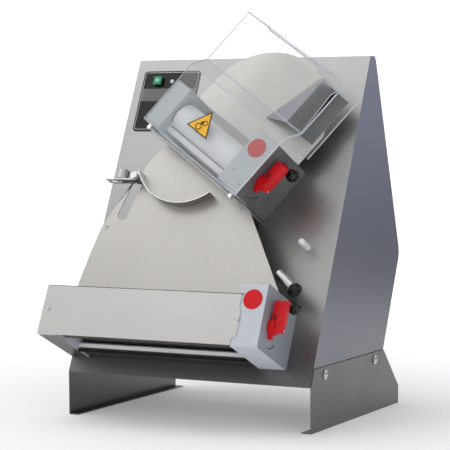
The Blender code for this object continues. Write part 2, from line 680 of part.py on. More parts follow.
def make_upper_slide_plate(frame):
    """Round-topped plate that the dough slides down; its narrow foot bends forward to the rollers' nip."""
    inner = UPPER_HEAD["length"] - RIGHT_BLOCK_WIDTH
    outline = [(-0.0070, 0.1040), (inner - 0.0025, 0.1040), (inner - 0.0025, 0.1270), (0.2840, 0.1270)]
    outline += arc((0.1425, 0.1500), 0.1495, 18.8, 180.0, 36)
    plate = prism("upper_slide_plate", [outline], TONGUE_DEPTH, TONGUE_DEPTH + SHEET, frame, PLATE_STEEL)
    bend = [(0.0660, 0.0720), (0.1040, TONGUE_DEPTH), (0.1080, TONGUE_DEPTH)]
    foot = prism("add_upper_plate_foot", [strip(bend, SHEET)], 0.0450, inner - 0.0045, frame, None, ACROSS)
    join(plate, foot)
    for number, (x, y) in enumerate(((0.030, 0.200), (0.140, 0.270), (0.250, 0.200))):
        stud = cylinder("add_upper_plate_stud_%d" % number, 0.0060, TONGUE_DEPTH,
                        (x, y, TONGUE_DEPTH / 2 + GAP), FACE_ON, frame, None, 20)
        join(plate, stud)


def make_feed_guide(frame):
    """Folded steel guide beside the feed throat: a sloping face, an upright wall and a flat flange."""
    base = TONGUE_DEPTH + SHEET + GAP + FEED_SHEET
    ridge = base + 0.0465
    points = [
        (0.1520, 0.1600, base), (0.2280, 0.1740, ridge), (0.2290, 0.2880, ridge), (0.1880, 0.2890, base),
        (0.2310, 0.1740, base), (0.2320, 0.2870, base), (0.2770, 0.1740, base), (0.2770, 0.2840, base),
    ]
    faces = [(0, 1, 2), (0, 2, 3), (1, 4, 5, 2), (4, 6, 7, 5)]
    folded_sheet("feed_guide", points, faces, FEED_SHEET, frame, STEEL)


def make_guard(frame):
    """Clear folded guard: a hem, a front wall, a sloped band, an upper wall, a top lip and a right side wall."""
    upper, top, right = GUARD_UPPER, GUARD_TOP, GUARD_RIGHT
    path = [(top, 0.082), (top, upper), (0.172, upper), (0.142, GUARD_FRONT)]
    path += [(GUARD_LOW, GUARD_FRONT), (GUARD_LOW, GUARD_HINGE[1])]
    guard = prism("clear_guard", [strip(path, GUARD_SHEET)], 0.0, right, frame, CLEAR, ACROSS, GUARD_HINGE)
    bare = 0.0004
    side = [(0.1300, GUARD_FRONT - bare), (0.1418, GUARD_FRONT - bare), (0.1718, upper - bare)]
    side += [(0.2980, upper - bare), (0.2980, 0.0400), (0.1470, 0.0400)]
    wall = prism("add_guard_side", [side], right - GUARD_SHEET, right, frame, None, ACROSS)
    curl = prism("add_guard_curl", [circle(GUARD_HINGE, 0.0056), circle(GUARD_HINGE, HINGE_ROD_RADIUS + GAP)],
                 *HEM_SPAN, frame, None, ACROSS)
    join(guard, wall, curl)

    inside = GUARD_FRONT - GUARD_SHEET - bare
    hem_left = box("cut_hem_left", (-0.002, -0.020, 0.100), (HEM_SPAN[0], 0.002, inside), frame)
    hem_right = box("cut_hem_right", (HEM_SPAN[1], -0.020, 0.100), (right + 0.002, 0.002, inside), frame)
    notch = [(-0.002, 0.070), (0.045, 0.070), (0.057, upper - GUARD_SHEET - bare)]
    notch += [(-0.002, upper - GUARD_SHEET - bare)]
    lip = prism("cut_guard_lip", [notch], 0.290, 0.310, frame, None, UPRIGHT)
    spare = 0.002
    corner = arc((right - GUARD_CORNER, top - GUARD_CORNER), GUARD_CORNER, 0.0, 90.0, 8)
    corner += [(right - GUARD_CORNER, top + spare), (right + spare, top + spare)]
    corner += [(right + spare, top - GUARD_CORNER)]
    round_off = prism("cut_guard_corner", [corner], 0.030, 0.130, frame)
    cut(guard, hem_left, hem_right, lip, round_off)


def make_guard_hinge(frame):
    """Rod under the end blocks that the guard's curled hem turns on, held by a lug at each end."""
    t, w = GUARD_HINGE
    low, high = 0.0040, 0.2700
    rod = prism("guard_hinge_rod", [circle(GUARD_HINGE, HINGE_ROD_RADIUS)], low, high,
                frame, DARK_STEEL, ACROSS, GUARD_HINGE)
    lug = [(-GAP, 0.060), (-GAP, w + 0.006), (t - 0.0045, w + 0.006), (t - 0.0045, w - 0.006)]
    lug += [(-0.0023, w - 0.006), (-0.0023, 0.060)]
    for side, start in (("left", low), ("right", high - 0.008)):
        end = prism("add_guard_lug_" + side, [lug], start, start + 0.008, frame, None, ACROSS)
        join(rod, end)


# ---------------------------------------------------------------- pendulum and small pieces

def make_pendulum(panel):
    """Bent strip, standing on edge over the plate, that turns about a pin and carries a sliding weight."""
    pivot = PENDULUM_PIVOT
    near, far = PENDULUM_NEAR, PENDULUM_FAR
    half = PENDULUM_SHEET / 2
    outer = arc(ARC_CENTRE, ARC_RADIUS + half, -158.0, -52.0, 30)
    inner = arc(ARC_CENTRE, ARC_RADIUS - half, -52.0, -158.0, 30)
    arm = prism("pendulum_arm", [outer + inner], near, far, panel, STEEL, FACE_ON, pivot)
    hub = prism("add_pendulum_hub", [circle(pivot, 0.0095)], near, far, panel)
    web = [pivot] + arc(ARC_CENTRE, ARC_RADIUS, -155.0, -143.0, 4)
    plate = prism("add_pendulum_web", [web], near + 0.006, near + 0.010, panel)
    bar = rectangle((-0.2210, TAIL_HEIGHT - 0.0025), (pivot[0] - 0.007, TAIL_HEIGHT))
    tail = prism("add_pendulum_tail", [bar], near + 0.001, far - 0.001, panel)
    join(arm, hub, plate, tail)
    way = cylinder("cut_pendulum_bore", 0.0053, 0.20, (*pivot, 0.08), FACE_ON, panel, None, 24)
    depth = COUNTERWEIGHT[1]
    slot = box("cut_pendulum_slot", (-0.2140, 0.360, depth - 0.004), (-0.1760, 0.400, depth + 0.004), panel)
    cut(arm, way, slot)

    pin = [(0.0, 0.1030), (0.0070, 0.1030), (0.0075, 0.1020), (0.0075, 0.0990), (0.0050, 0.0990),
           (0.0050, 0.0050), (0.0085, 0.0050), (0.0085, GAP), (0.0040, GAP), (0.0040, -0.0120), (0.0, -0.0120)]
    turned("pendulum_pin", pin, (*pivot, 0.0), FACE_ON, panel, DARK_STEEL, 24)

    weight = [(0.0, 0.0210), (0.0120, 0.0210), (0.0135, 0.0195), (0.0135, 0.0), (0.0035, 0.0),
              (0.0035, -0.0031), (0.0060, -0.0031), (0.0060, -0.0060), (0.0, -0.0060)]
    seat = (COUNTERWEIGHT[0], TAIL_HEIGHT + GAP, depth)
    turned("counterweight", weight, seat, ALONG_Y, panel, DARK_STEEL, 28)


def make_plate_lock(panel):
    """Spring bolt at the plate's right edge: a steel sleeve on a foot, and a knob with a pin that pulls out."""
    frame = add_frame("plate_lock_frame", (0.1810, 0.2070, 0.0520), (0.0, 0.0, math.radians(-38.3)), panel)
    sleeve = [(0.0048, 0.0430), (0.0100, 0.0430), (0.0110, 0.0420), (0.0110, 0.0), (0.0048, 0.0), (0.0048, 0.0430)]
    body = turned("plate_lock_sleeve", sleeve, (0.0, 0.0, 0.0), ALONG_X, frame, STEEL, 28)
    foot = box("add_plate_lock_foot", (0.0040, -0.0105, -0.0517), (0.0080, 0.0105, -0.0070), frame)
    join(body, foot)
    knob = [(0.0, 0.0580), (0.0090, 0.0580), (0.0130, 0.0570), (0.0145, 0.0550), (0.0145, 0.0480),
            (0.0130, 0.0455), (0.0080, 0.0434), (0.0045, 0.0434), (0.0045, -0.0060), (0.0, -0.0060)]
    turned("plate_lock_knob", knob, (0.0, 0.0, 0.0), ALONG_X, frame, BLACK, 28)


def make_stop_peg(panel):
    profile = [(0.0, 0.0400), (0.0035, 0.0392), (0.0058, 0.0370), (0.0066, 0.0335), (0.0066, GAP), (0.0, GAP)]
    turned("stop_peg", profile, (0.2075, 0.2815, 0.0), FACE_ON, panel, WHITE, 20)


# ---------------------------------------------------------------- assembly

def head_frame(name, head, panel):
    return add_frame(name, (*head["corner"], 0.0), (0.0, 0.0, head["turn"]), panel)


def build():
    ground = add_frame("ground_frame", (0.0, FRONT_OFFSET, 0.0), (0.0, 0.0, 0.0))
    tilt = (math.pi / 2 - PANEL_LEAN, 0.0, 0.0)
    panel = add_frame("panel_frame", (0.0, 0.0, BASE_HEIGHT), tilt, ground)
    lower = head_frame("lower_head_frame", LOWER_HEAD, panel)
    upper = head_frame("upper_head_frame", UPPER_HEAD, panel)

    make_cabinet_shell(ground, panel, (("lower", lower), ("upper", upper)))
    make_rear_covers(ground)
    make_base_plate(ground)
    make_power_gland(ground)
    make_legs(ground)
    make_leg_bolts(ground)
    make_controls(panel)

    make_head("lower", lower, LOWER_HEAD)
    make_head("upper", upper, UPPER_HEAD)
    make_lower_cover(lower)
    make_outlet_guide(lower)

    make_lower_slide_plate(panel)
    make_upper_slide_plate(upper)
    make_feed_guide(upper)
    make_guard(upper)
    make_guard_hinge(upper)

    make_pendulum(panel)
    make_plate_lock(panel)
    make_stop_peg(panel)
    bpy.context.view_layer.update()


clear_scene()
parts = make_collection("dough_sheeter")
cutters = make_collection("cutters")
build()
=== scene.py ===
"""Looks of the dough sheeter: finishes for its CAD parts, added fittings, lights and camera."""

import json
import math

import bmesh
import bpy
from mathutils import Matrix, Vector


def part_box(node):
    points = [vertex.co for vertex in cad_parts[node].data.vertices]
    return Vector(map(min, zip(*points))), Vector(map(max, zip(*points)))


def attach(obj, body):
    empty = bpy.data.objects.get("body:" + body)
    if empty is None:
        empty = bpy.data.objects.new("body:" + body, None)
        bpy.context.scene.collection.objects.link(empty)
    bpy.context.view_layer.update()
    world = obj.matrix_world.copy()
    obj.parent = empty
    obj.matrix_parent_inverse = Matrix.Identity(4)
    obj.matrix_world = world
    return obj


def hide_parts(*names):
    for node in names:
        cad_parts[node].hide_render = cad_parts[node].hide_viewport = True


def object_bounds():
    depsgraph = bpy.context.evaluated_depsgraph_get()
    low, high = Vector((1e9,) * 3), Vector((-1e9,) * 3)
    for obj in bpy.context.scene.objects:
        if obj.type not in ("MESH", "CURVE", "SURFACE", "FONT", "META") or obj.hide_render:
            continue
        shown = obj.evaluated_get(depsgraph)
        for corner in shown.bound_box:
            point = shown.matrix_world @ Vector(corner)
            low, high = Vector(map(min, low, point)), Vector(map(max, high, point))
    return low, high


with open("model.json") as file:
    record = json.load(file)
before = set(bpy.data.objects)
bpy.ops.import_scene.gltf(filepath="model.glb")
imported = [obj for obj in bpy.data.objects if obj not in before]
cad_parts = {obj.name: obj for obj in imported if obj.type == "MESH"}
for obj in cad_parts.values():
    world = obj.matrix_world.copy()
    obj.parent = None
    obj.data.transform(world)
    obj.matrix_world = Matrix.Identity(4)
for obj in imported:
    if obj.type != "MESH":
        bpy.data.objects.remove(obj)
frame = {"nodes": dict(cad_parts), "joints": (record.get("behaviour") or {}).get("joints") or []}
cad_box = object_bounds()
nodes = frame["nodes"]
joints = {joint["name"]: joint for joint in frame["joints"]}


# ---------------------------------------------------------------- places

def columns(origin, x, y, z):
    """A placement from its origin and its three directions."""
    matrix = Matrix.Identity(4)
    for index, vector in enumerate((x, y, z, origin)):
        matrix.col[index][:3] = vector
    return matrix


RIGHT = Vector((1.0, 0.0, 0.0))
shell_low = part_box("cabinet_shell")[0]
out_of_panel = Vector(joints["pendulum_swing"]["axis"]).normalized()
up_panel = out_of_panel.cross(RIGHT)
PANEL = columns(Vector((0.0, shell_low.y, shell_low.z)), RIGHT, up_panel, out_of_panel)

# In a head's frame: its lever's axis up and out from its origin, its front face, and its length
LEVER_UP = 0.052
LEVER_OUT = 0.104
HEAD_DEPTH = 0.1415
LENGTHS = {"lower": 0.4767, "upper": 0.285}


def head_place(name):
    """A head's frame: x along its rollers, y across them, z out of the panel."""
    lever = joints[name + "_lever_turn"]
    along = Vector(lever["axis"]).normalized()
    across = out_of_panel.cross(along)
    corner = Vector(lever["pos_m"]) - along * LENGTHS[name] - across * LEVER_UP - out_of_panel * LEVER_OUT
    return columns(corner, along, across, out_of_panel)


HEADS = {name: head_place(name) for name in LENGTHS}
LOWER, UPPER = HEADS["lower"], HEADS["upper"]


# ---------------------------------------------------------------- materials

class Nodes:
    """Builds the nodes of one material round its Principled BSDF."""

    def __init__(self, name):
        self.material = bpy.data.materials.new(name)
        self.material.use_nodes = True
        self.tree = self.material.node_tree
        self.shader = self.tree.nodes["Principled BSDF"]

    def add(self, kind, **values):
        """A new node, with its own settings."""
        node = self.tree.nodes.new(kind)
        for key, value in values.items():
            setattr(node, key, value)
        return node

    def link(self, source, target):
        self.tree.links.new(source, target)

    def set(self, **values):
        """Constant values on the shader, with _ for a space in a socket's name."""
        for key, value in values.items():
            self.shader.inputs[key.replace("_", " ")].default_value = value

    def place(self, scale=(1.0, 1.0, 1.0)):
        """Object coordinates, stretched."""
        source = self.add("ShaderNodeTexCoord")
        mapping = self.add("ShaderNodeMapping")
        mapping.inputs["Scale"].default_value = scale
        self.link(source.outputs["Object"], mapping.inputs["Vector"])
        return mapping.outputs["Vector"]

    def noise(self, vector, scale, detail, rough=0.55):
        node = self.add("ShaderNodeTexNoise")
        node.inputs["Scale"].default_value = scale
        node.inputs["Detail"].default_value = detail
        node.inputs["Roughness"].default_value = rough
        self.link(vector, node.inputs["Vector"])
        return node.outputs["Fac"]

    def ramp(self, factor, low, high):
        """Two colours, or two greys, spread over the middle of a noise's range."""
        node = self.add("ShaderNodeValToRGB")
        for element, value, position in zip(node.color_ramp.elements, (low, high), (0.3, 0.7)):
            element.position = position
            element.color = (value, value, value, 1.0) if isinstance(value, float) else (*value, 1.0)
        self.link(factor, node.inputs["Fac"])
        return node.outputs["Color"]

    def span(self, value, start, end, low, high):
        """Takes a value from low to high, smoothly, as it goes from start to end."""
        node = self.add("ShaderNodeMapRange", interpolation_type="SMOOTHSTEP")
        for key, setting in zip(("From Min", "From Max", "To Min", "To Max"), (start, end, low, high)):
            node.inputs[key].default_value = setting
        self.link(value, node.inputs["Value"])
        return node.outputs["Result"]

    def shade_below(self, colour, low, high, least):
        """Darkens a colour below a height: painted shade."""
        source = self.add("ShaderNodeTexCoord")
        split = self.add("ShaderNodeSeparateXYZ")
        scale = self.add("ShaderNodeVectorMath", operation="SCALE")
        self.link(source.outputs["Object"], split.inputs["Vector"])
        self.link(colour, scale.inputs[0])
        self.link(self.span(split.outputs["Z"], low, high, least, 1.0), scale.inputs["Scale"])
        return scale.outputs["Vector"]

    def bump(self, height, distance, strength):
        node = self.add("ShaderNodeBump")
        node.inputs["Distance"].default_value = distance
        node.inputs["Strength"].default_value = strength
        self.link(height, node.inputs["Height"])
        self.link(node.outputs["Normal"], self.shader.inputs["Normal"])


GRAIN_DEPTH = 0.00004
CLOUD_SHARE = 0.45


def brushed(name, dark, light, rough, grain=(6.0, 700.0, 700.0), painted_shade=None, relief=0.5):
    """Brushed steel: fine grain along one direction under faint clouding.

    painted_shade is the height where the painted shade is darkest, the height where it ends, and how dark it
    gets.
    """
    m = Nodes(name)
    m.set(Metallic=1.0)
    fine = m.noise(m.place(grain), 1.0, 3.0, 0.6)
    cloud = m.noise(m.place(), 7.0, 3.0, 0.5)
    mix = m.add("ShaderNodeMix", data_type="FLOAT")
    mix.inputs["Factor"].default_value = CLOUD_SHARE
    m.link(fine, mix.inputs["A"])
    m.link(cloud, mix.inputs["B"])
    colour = m.ramp(mix.outputs["Result"], dark, light)
    if painted_shade:
        colour = m.shade_below(colour, *painted_shade)
    m.link(colour, m.shader.inputs["Base Color"])
    m.link(m.ramp(mix.outputs["Result"], rough + 0.03, rough - 0.02), m.shader.inputs["Roughness"])
    m.bump(fine, GRAIN_DEPTH, relief)
    return m.material


def moulded(name, low, high, rough, grain=900.0, depth=0.00003, **values):
    """Plastic or paint: a faint orange-peel surface and a little colour drift."""
    m = Nodes(name)
    m.set(**values)
    fine = m.noise(m.place(), grain, 2.0)
    drift = m.noise(m.place(), 22.0, 3.0)
    m.link(m.ramp(drift, low, high), m.shader.inputs["Base Color"])
    m.link(m.ramp(drift, rough + 0.05, rough - 0.04), m.shader.inputs["Roughness"])
    m.bump(fine, depth, 0.6)
    return m.material


def clear(name, colour, alpha, rough):
    """Clear polycarbonate: thin, a little hazy, with faint wipe marks."""
    m = Nodes(name)
    m.set(Alpha=alpha, IOR=1.58, Specular_IOR_Level=0.35)
    marks = m.noise(m.place((30.0, 30.0, 5.0)), 1.0, 4.0)
    lighter = tuple(min(1.0, part * 1.04) for part in colour)
    m.link(m.ramp(marks, colour, lighter), m.shader.inputs["Base Color"])
    m.link(m.ramp(marks, rough + 0.04, rough), m.shader.inputs["Roughness"])
    return m.material


# Steel: darkest and lightest colour, roughness, grain
EVEN_GRAIN = (30.0, 30.0, 30.0)
# Painted shade: the front panel darker near its bottom, under the heads
panel_steel = brushed("panel_steel", (0.37, 0.375, 0.375), (0.41, 0.415, 0.415), 0.40,
                      painted_shade=(0.12, 0.23, 0.50))
# Painted shade: the side sheet darker towards the bottom
side_steel = brushed("side_steel", (0.80, 0.82, 0.93), (0.83, 0.85, 0.96), 0.30, (4.0, 4.0, 900.0),
                     painted_shade=(0.05, 0.80, 0.22), relief=0.15)
leg_steel = brushed("leg_steel", (0.135, 0.132, 0.135), (0.165, 0.162, 0.165), 0.30, (5.0, 5.0, 500.0))
# Painted shade: near black for the lower outlet guide, the lower cover's top and the lower slide plate's
# right edges; also the dark seam along the lower cover
shade_and_seam_steel = brushed("shade_and_seam_steel", (0.03, 0.03, 0.03), (0.06, 0.055, 0.05), 0.30)
# Painted shade: dark steel for the lower head's underside, the lower cover's back and the lower back roller
inner_shade_steel = brushed("inner_shade_steel", (0.07, 0.065, 0.06), (0.10, 0.095, 0.085), 0.36)
cover_steel = brushed("cover_steel", (0.575, 0.57, 0.57), (0.635, 0.625, 0.62), 0.40)
plate_steel = brushed("plate_steel", (0.525, 0.515, 0.50), (0.56, 0.55, 0.53), 0.44, (400.0, 8.0, 8.0))
guide_steel = brushed("guide_steel", (0.29, 0.30, 0.36), (0.33, 0.34, 0.40), 0.25, EVEN_GRAIN, relief=0.02)
guide_shade = brushed("guide_shade", (0.045, 0.043, 0.045), (0.06, 0.058, 0.06), 0.30, EVEN_GRAIN,
                      relief=0.02)
arm_shade = brushed("arm_shade", (0.16, 0.145, 0.13), (0.24, 0.22, 0.20), 0.22, (60.0, 60.0, 60.0),
                    relief=0.05)
turned_steel = brushed("turned_steel", (0.50, 0.50, 0.50), (0.72, 0.72, 0.71), 0.20, (300.0, 300.0, 40.0))

# Paint and plastic: darkest and lightest colour, roughness, grain and its depth
PAINT = (500.0, 0.00005)
casting = moulded("casting_paint", (0.53, 0.57, 0.63), (0.57, 0.61, 0.67), 0.38, *PAINT)
# Painted shade: the heads' right faces, darker copies of the casting paint
lower_side_shade = moulded("lower_side_shade", (0.28, 0.305, 0.35), (0.32, 0.345, 0.39), 0.40, *PAINT)
upper_side_shade = moulded("upper_side_shade", (0.11, 0.11, 0.115), (0.15, 0.15, 0.155), 0.30, *PAINT)
white = moulded("white_plastic_look", (0.84, 0.86, 0.90), (0.88, 0.90, 0.94), 0.38)
shaded_plastic = moulded("shaded_plastic", (0.035, 0.03, 0.03), (0.06, 0.055, 0.05), 0.45)
red = moulded("red_plastic_look", (0.58, 0.004, 0.010), (0.68, 0.008, 0.014), 0.30,
              Specular_IOR_Level=0.25)
black = moulded("black_plastic_look", (0.003, 0.003, 0.003), (0.006, 0.006, 0.006), 0.13,
                Specular_IOR_Level=0.3)
label_black = moulded("label_black", (0.003, 0.003, 0.004), (0.006, 0.006, 0.007), 0.12,
                      Specular_IOR_Level=0.2)
label_grey = moulded("label_grey", (0.10, 0.10, 0.105), (0.14, 0.14, 0.145), 0.35)
label_silver = brushed("label_silver", (0.40, 0.40, 0.41), (0.55, 0.55, 0.56), 0.3)
green = moulded("green_plastic_look", (0.006, 0.20, 0.09), (0.010, 0.26, 0.12), 0.25)
mint = moulded("button_mark", (0.30, 0.75, 0.50), (0.35, 0.80, 0.55), 0.3)
yellow = moulded("sign_yellow", (0.85, 0.44, 0.005), (0.90, 0.48, 0.01), 0.35)
gloss_ring = moulded("knob_ring_gloss", (0.020, 0.020, 0.021), (0.030, 0.030, 0.031), 0.08)
rubber = moulded("belt_rubber_look", (0.02, 0.02, 0.02), (0.035, 0.035, 0.035), 0.75, 1500.0, 0.0001)
motor_paint = moulded("motor_paint_look", (0.13, 0.15, 0.18), (0.17, 0.20, 0.23), 0.5, 300.0, 0.0001)

# Clear sheet: colour, how solid it looks, roughness
clear_sheet = clear("clear_polycarbonate", (0.48, 0.51, 0.51), 0.14, 0.16)
# Painted highlights on the clear sheet: its lit right edge, its folds and its rims
edge_glow = clear("clear_lit_edge", (0.92, 0.94, 0.96), 0.95, 0.2)
clear_bend_highlight = clear("clear_bend_highlight", (0.60, 0.65, 0.73), 0.30, 0.12)
rim_highlight = clear("clear_rim_highlight", (0.66, 0.71, 0.77), 0.85, 0.12)

dot_ink = moulded("dot_ink", (0.012, 0.012, 0.013), (0.022, 0.022, 0.023), 0.5)
# Painted shade for each lever's grip recess
red_shade = moulded("red_recess_shade", (0.10, 0.001, 0.002), (0.14, 0.002, 0.003), 0.5)

LOOKS = {
    "cabinet_shell": panel_steel, "rear_lower_cover": side_steel, "rear_upper_cover": side_steel,
    "base_plate": side_steel, "power_gland": black, "left_leg": leg_steel, "right_leg": leg_steel,
    "control_plate": label_black, "start_button": green, "stop_button": red, "power_lamp": white,
    # the lower outlet guide takes painted shade
    "lower_front_cover": cover_steel, "lower_outlet_guide": shade_and_seam_steel, "lower_slide_plate": plate_steel,
    "upper_slide_plate": plate_steel, "feed_guide": guide_steel, "clear_guard": clear_sheet,
    "guard_hinge_rod": turned_steel, "pendulum_arm": turned_steel, "pendulum_pin": turned_steel,
    "counterweight": turned_steel, "plate_lock_sleeve": turned_steel, "plate_lock_knob": black,
    "stop_peg": white, "lower_cover_screw_left": turned_steel, "lower_cover_screw_right": turned_steel,
    # the lower back roller takes painted shade
    "lower_back_roller": inner_shade_steel,
}
HEAD_LOOKS = {
    "right_block": casting, "left_block": casting, "back_roller": white, "front_roller": white,
    "back_gear": turned_steel, "front_gear": turned_steel, "front_carriage": white, "back_scraper": white,
    "red_disc": red, "lever": red, "index_knob": black, "motor": motor_paint, "motor_pulley": turned_steel,
    "drive_belt": rubber,
}


def dress(obj, material):
    """Gives a whole object one material."""
    obj.data.materials.clear()
    obj.data.materials.append(material)


for name, obj in nodes.items():
    if name in LOOKS:
        dress(obj, LOOKS[name])
    elif name.startswith("leg_bolt"):
        dress(obj, turned_steel)
    else:
        dress(obj, HEAD_LOOKS[name.split("_", 1)[1]])


def dress_side(name, material, direction, least):
    """A second material on the faces of a CAD part that point one way, for painted shade or painted light."""
    obj = nodes[name]
    obj.data.materials.append(material)
    turn = obj.matrix_world.to_3x3()
    for polygon in obj.data.polygons:
        if (turn @ polygon.normal).normalized().dot(direction) > least:
            polygon.material_index = len(obj.data.materials) - 1


# Faces that stand in shade, or catch other light than the rest of their part
for name, material, direction, least in (
        ("lower_right_block", lower_side_shade, LOWER.col[0].xyz, 0.9),
        ("upper_right_block", upper_side_shade, UPPER.col[0].xyz, 0.9),
        ("lower_left_block", inner_shade_steel, -LOWER.col[1].xyz, 0.9),
        ("lower_front_cover", inner_shade_steel, -out_of_panel, 0.9),
        ("lower_front_carriage", shaded_plastic, -LOWER.col[1].xyz, 0.5),
        ("feed_guide", guide_shade, out_of_panel, 0.9),
        ("lower_front_cover", shade_and_seam_steel, up_panel, 0.9),
        ("lower_slide_plate", shade_and_seam_steel, RIGHT, 0.3),
        ("pendulum_arm", arm_shade, -up_panel, 0.45),
        ("cabinet_shell", side_steel, RIGHT, 0.9),
        ("cabinet_shell", side_steel, -RIGHT, 0.9)):
    dress_side(name, material, direction, least)


# ---------------------------------------------------------------- shapes

def make(name, body, matrix, look, ride, smooth=False):
    """Turns a bmesh, drawn in a local frame, into a piece that rides on a CAD body."""
    mesh = bpy.data.meshes.new(name)
    bmesh.ops.recalc_face_normals(body, faces=body.faces)
    body.to_mesh(mesh)
    body.free()
    obj = bpy.data.objects.new(name, mesh)
    bpy.context.scene.collection.objects.link(obj)
    obj.matrix_world = matrix
    mesh.materials.append(look)
    for polygon in mesh.polygons:
        polygon.use_smooth = smooth
    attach(obj, ride)
    return obj


def slab(name, outline, low, high, matrix, look, ride="machine"):
    """An outline drawn in x and y, extruded along z."""
    body = bmesh.new()
    face = body.faces.new([body.verts.new((x, y, low)) for x, y in outline])
    grown = bmesh.ops.extrude_face_region(body, geom=[face])
    verts = [item for item in grown["geom"] if isinstance(item, bmesh.types.BMVert)]
    bmesh.ops.translate(body, vec=(0.0, 0.0, high - low), verts=verts)
    make(name, body, matrix, look, ride)


def lathe(name, profile, matrix, look, ride="machine", steps=32):
    """Turns a profile of (radius, height) points round z."""
    body = bmesh.new()
    verts = [body.verts.new((radius, 0.0, height)) for radius, height in profile]
    edges = [body.edges.new(pair) for pair in zip(verts, verts[1:])]
    bmesh.ops.spin(body, geom=verts + edges, cent=(0, 0, 0), axis=(0, 0, 1), angle=2 * math.pi, steps=steps)
    bmesh.ops.remove_doubles(body, verts=body.verts, dist=0.00001)
    make(name, body, matrix, look, ride, smooth=True)


def ring(radius, steps):
    """Outline of a regular polygon about the origin."""
    turns = [2 * math.pi * step / steps for step in range(steps)]
    return [(radius * math.cos(turn), radius * math.sin(turn)) for turn in turns]


def rounded(low, high, radius, steps=5):
    """Outline of a rectangle with rounded corners."""
    corners = (
        (high[0] - radius, high[1] - radius, 0.0), (low[0] + radius, high[1] - radius, 90.0),
        (low[0] + radius, low[1] + radius, 180.0), (high[0] - radius, low[1] + radius, 270.0),
    )
    points = []
    for x, y, start in corners:
        for step in range(steps + 1):
            angle = math.radians(start + 90.0 * step / steps)
            points.append((x + radius * math.cos(angle), y + radius * math.sin(angle)))
    return points


def at(matrix, x, y, z):
    """The given frame, moved to a place in it."""
    return matrix @ Matrix.Translation((x, y, z))


def facing_x(matrix, x, y, z):
    """The same, turned so that its own z points along the given frame's x."""
    return at(matrix, x, y, z) @ Matrix.Rotation(math.pi / 2, 4, "Y")


# ---------------------------------------------------------------- guard

def bends(points, radius, steps=5):
    """The path with each inner corner rounded, by a curve that starts and ends on its two sides."""
    path = [Vector(points[0])]
    for before, corner, after in zip(points, points[1:], points[2:]):
        corner = Vector(corner)
        back, ahead = (Vector(before) - corner).normalized(), (Vector(after) - corner).normalized()
        half = back.angle(ahead) / 2
        reach = min(radius / math.tan(half), radius * 1.6)
        start, end = corner + back * reach, corner + ahead * reach
        for step in range(steps + 1):
            share = step / steps
            path.append(start * (1 - share) ** 2 + corner * 2 * share * (1 - share) + end * share ** 2)
    path.append(Vector(points[-1]))
    return path


# The guard in the upper head's frame: heights up the head, and distances out of the panel
GUARD_LOW = -0.0045
LOWER_FOLD = 0.142
UPPER_FOLD = 0.172
GUARD_TOP = 0.301
GUARD_FRONT = 0.146
GUARD_SHELF = 0.118
GUARD_LIP = 0.082
GUARD_RIGHT = 0.2895
GUARD_CORNER = 0.025
CORNER_START = GUARD_TOP - GUARD_CORNER
BEND_RADIUS = 0.006
SHEET = 0.003


def corner_right(up):
    """How far right the sheet goes at a height, with its top right corner rounded."""
    over = up - CORNER_START
    if over <= 0.0:
        return GUARD_RIGHT
    return GUARD_RIGHT - GUARD_CORNER + math.sqrt(max(GUARD_CORNER ** 2 - over ** 2, 0.0))


def guard_rows():
    """Rows along the sheet's bends: how far up and out each is, and where it starts and ends."""
    path = bends([(GUARD_LOW, 0.119), (GUARD_LOW, GUARD_FRONT), (LOWER_FOLD, GUARD_FRONT),
                  (UPPER_FOLD, GUARD_SHELF), (GUARD_TOP, GUARD_SHELF), (GUARD_TOP, GUARD_LIP)], BEND_RADIUS)
    rows = []
    for up, out in path:
        left, right = 0.0, corner_right(up)
        if up < 0.0 and out < 0.143:  # the part that goes back to the hinge rod is narrower
            left, right = 0.016, 0.256
        if up > 0.295 and out < 0.115:  # the lip at the top is cut away on the left, at a slant
            left = 0.057 - 0.012 * (0.115 - out) / 0.033
        rows.append((up, out, left, right))
    finer = []
    for first, second in zip(rows, rows[1:]):
        at_corner = second[0] > CORNER_START and first[1] > 0.117
        pieces = 8 if at_corner else 1
        for piece in range(pieces):
            share = piece / pieces
            up, out, left, right = [a + (b - a) * share for a, b in zip(first, second)]
            if at_corner and up > CORNER_START:
                right = corner_right(up)
            finer.append((up, out, left, right))
    return finer + [rows[-1]]


def thicken(obj):
    """Gives a sheet its thickness, a lit rim beside each of its two looks, and sharp corners."""
    for material in (rim_highlight, clear_bend_highlight, rim_highlight):
        obj.data.materials.append(material)
    solid = obj.modifiers.new("sheet", "SOLIDIFY")
    solid.thickness = SHEET
    solid.offset = -1.0
    solid.use_even_offset = True
    solid.material_offset_rim = 1
    split = obj.modifiers.new("split", "EDGE_SPLIT")
    split.split_angle = math.radians(35.0)


def guard_sheet():
    """The folded clear sheet, with painted highlight at its folds."""
    folds = ((-0.02, 0.0), (LOWER_FOLD - 0.008, LOWER_FOLD + 0.008), (UPPER_FOLD - 0.008, UPPER_FOLD + 0.004),
             (GUARD_TOP - 0.006, GUARD_TOP + 0.01))
    rows = guard_rows()
    body = bmesh.new()
    verts = [[body.verts.new((x, up, out)) for x in (left, right)] for up, out, left, right in rows]
    for number, (low, high) in enumerate(zip(verts, verts[1:])):
        face = body.faces.new((low[0], low[1], high[1], high[0]))
        middle = (rows[number][0] + rows[number + 1][0]) / 2
        if any(start < middle < end for start, end in folds):
            face.material_index = 2
    obj = make("guard_sheet", body, UPPER, clear_sheet, "guard", smooth=True)
    thicken(obj)
    return obj


